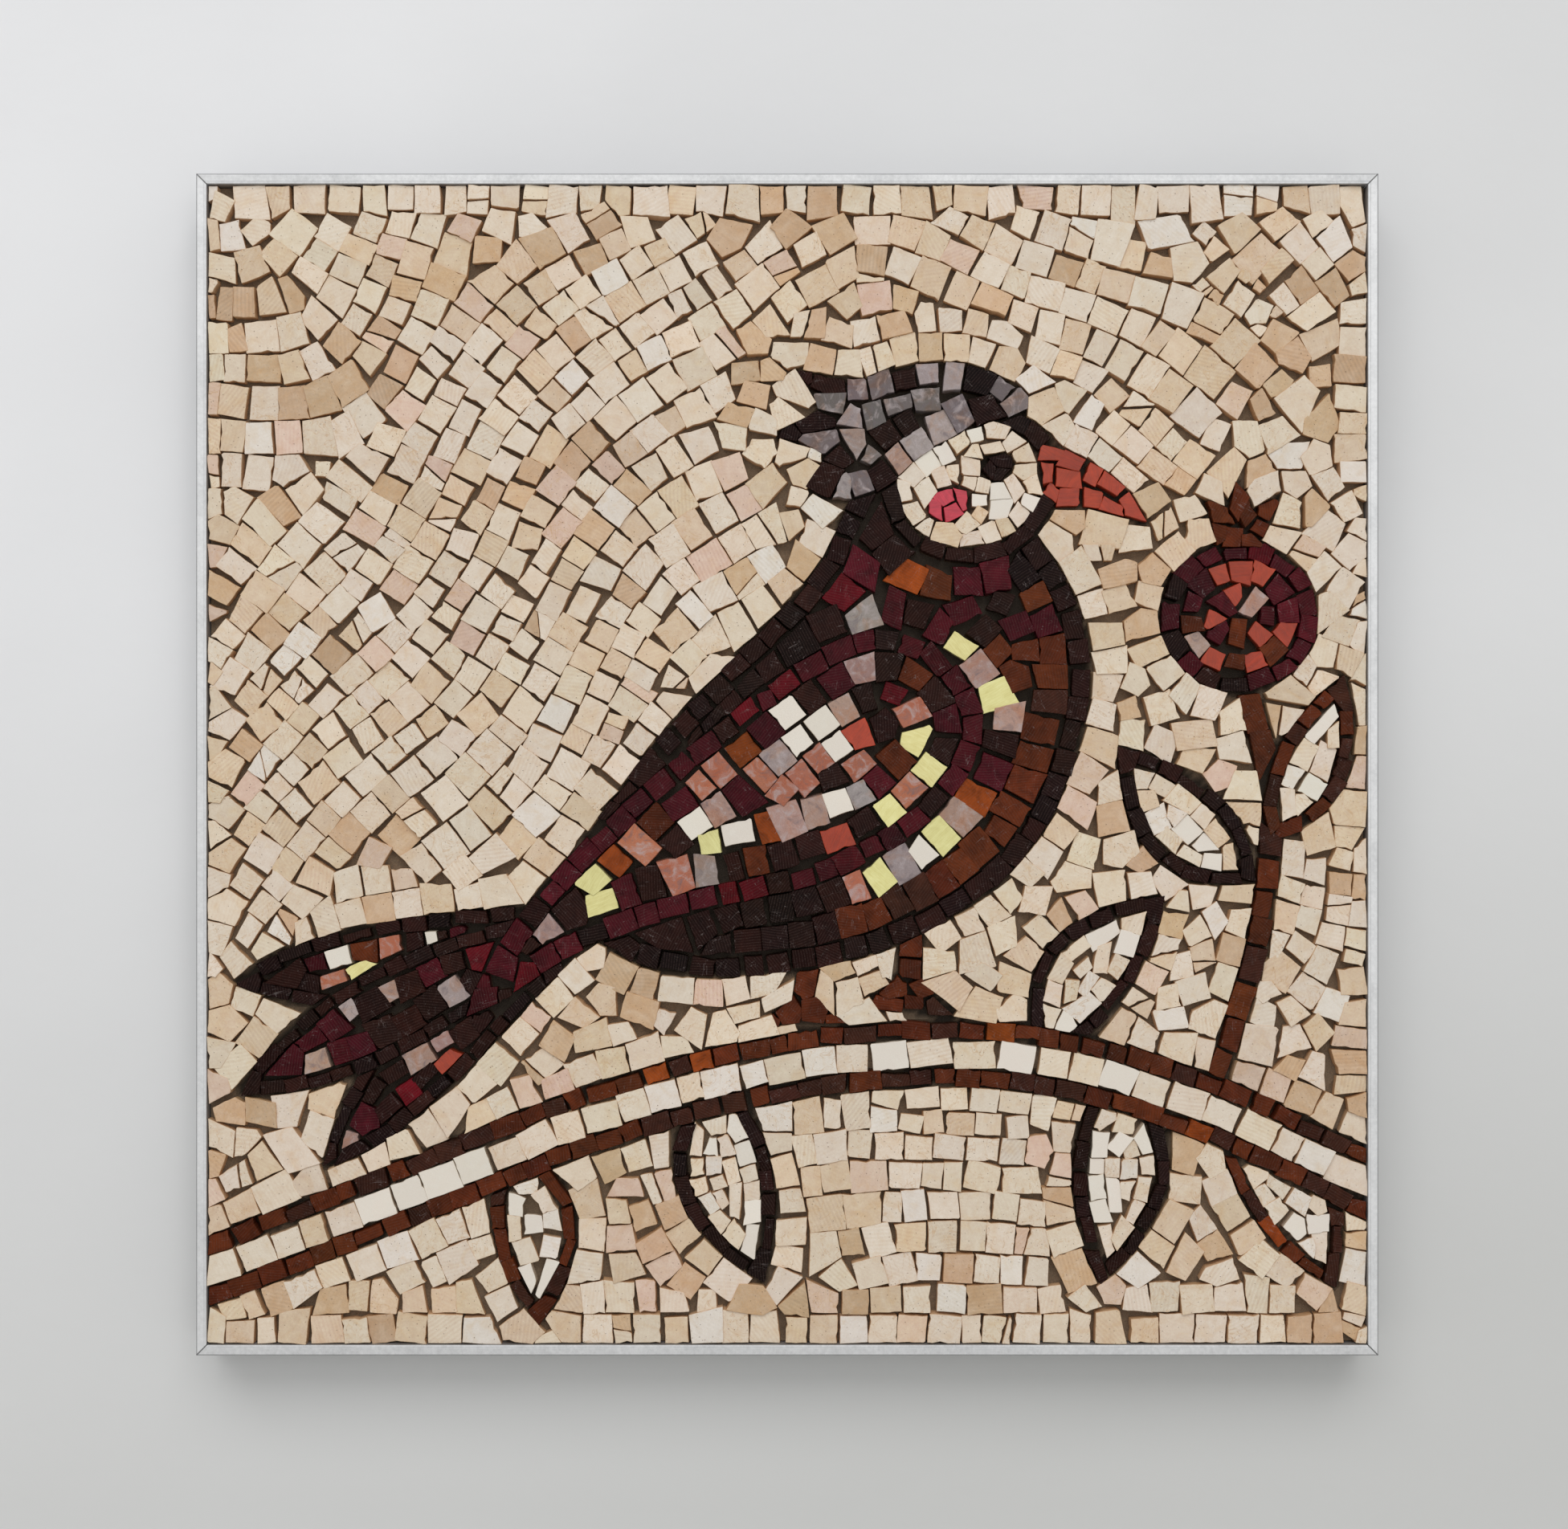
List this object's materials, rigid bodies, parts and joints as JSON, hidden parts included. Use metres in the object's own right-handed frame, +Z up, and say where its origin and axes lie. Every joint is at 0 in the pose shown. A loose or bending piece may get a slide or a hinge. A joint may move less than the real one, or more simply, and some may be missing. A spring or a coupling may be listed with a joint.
{
  "type": "mosaic wall panel",
  "caption": "Square stone mosaic panel in a slim metal frame: hand-cut tesserae in a mortar bed show a bird on a leafy branch with a fruit, on a cream ground.",
  "frame": {"origin": "centre of the flat back, where the panel rests against the wall", "axes": "+Y runs from the picture into the wall, +Z is up, +X is to the right as the picture is seen"},
  "size_m": [0.4, 0.025, 0.4],
  "materials": {
    "aluminium_bar": "satin",
    "board": "matte",
    "mortar": "matte",
    "cream_limestone": "matte",
    "white_marble": "satin",
    "umber_stone": "satin",
    "chestnut_stone": "satin",
    "maroon_stone": "satin",
    "lilac_stone": "matte",
    "vermilion_stone": "satin",
    "rose_stone": "satin"
  },
  "bodies": {
    "root": {"frame_rail_bottom": "aluminium_bar", "frame_rail_right": "aluminium_bar", "frame_rail_top": "aluminium_bar", "frame_rail_left": "aluminium_bar", "backing_board": "board", "mortar_bed": "mortar", "eye": "umber_stone", "cheek": "rose_stone", "beak": "vermilion_stone", "crown": "lilac_stone", "face_fill": "white_marble", "face_outline_1": "umber_stone", "face_outline_2": "umber_stone", "wing_fill": "maroon_stone", "wing_outline": "umber_stone", "body_fill": "chestnut_stone", "body_outline_1": "umber_stone", "body_outline_2": "umber_stone", "leg_front": "chestnut_stone", "leg_back": "chestnut_stone", "feather_1_fill": "lilac_stone", "feather_1_outline": "umber_stone", "feather_2_fill": "maroon_stone", "feather_2_outline": "umber_stone", "feather_3_fill": "maroon_stone", "feather_3_outline": "umber_stone", "branch_fill": "white_marble", "branch_outline_1": "umber_stone", "branch_outline_2": "umber_stone", "fruit_crown": "chestnut_stone", "fruit_fill": "vermilion_stone", "fruit_outline": "maroon_stone", "leaf_1_fill": "white_marble", "leaf_1_outline": "umber_stone", "leaf_2_fill": "white_marble", "leaf_2_outline": "chestnut_stone", "leaf_3_fill": "white_marble", "leaf_3_outline": "umber_stone", "leaf_4_fill": "white_marble", "leaf_4_outline": "chestnut_stone", "leaf_5_fill": "white_marble", "leaf_5_outline": "umber_stone", "leaf_6_fill": "white_marble", "leaf_6_outline": "chestnut_stone", "leaf_7_fill": "white_marble", "leaf_7_outline": "umber_stone", "stem_1": "chestnut_stone", "stem_2": "chestnut_stone", "ground_1": "cream_limestone", "ground_2": "cream_limestone", "ground_3": "cream_limestone"}
  },
  "joints": []
}
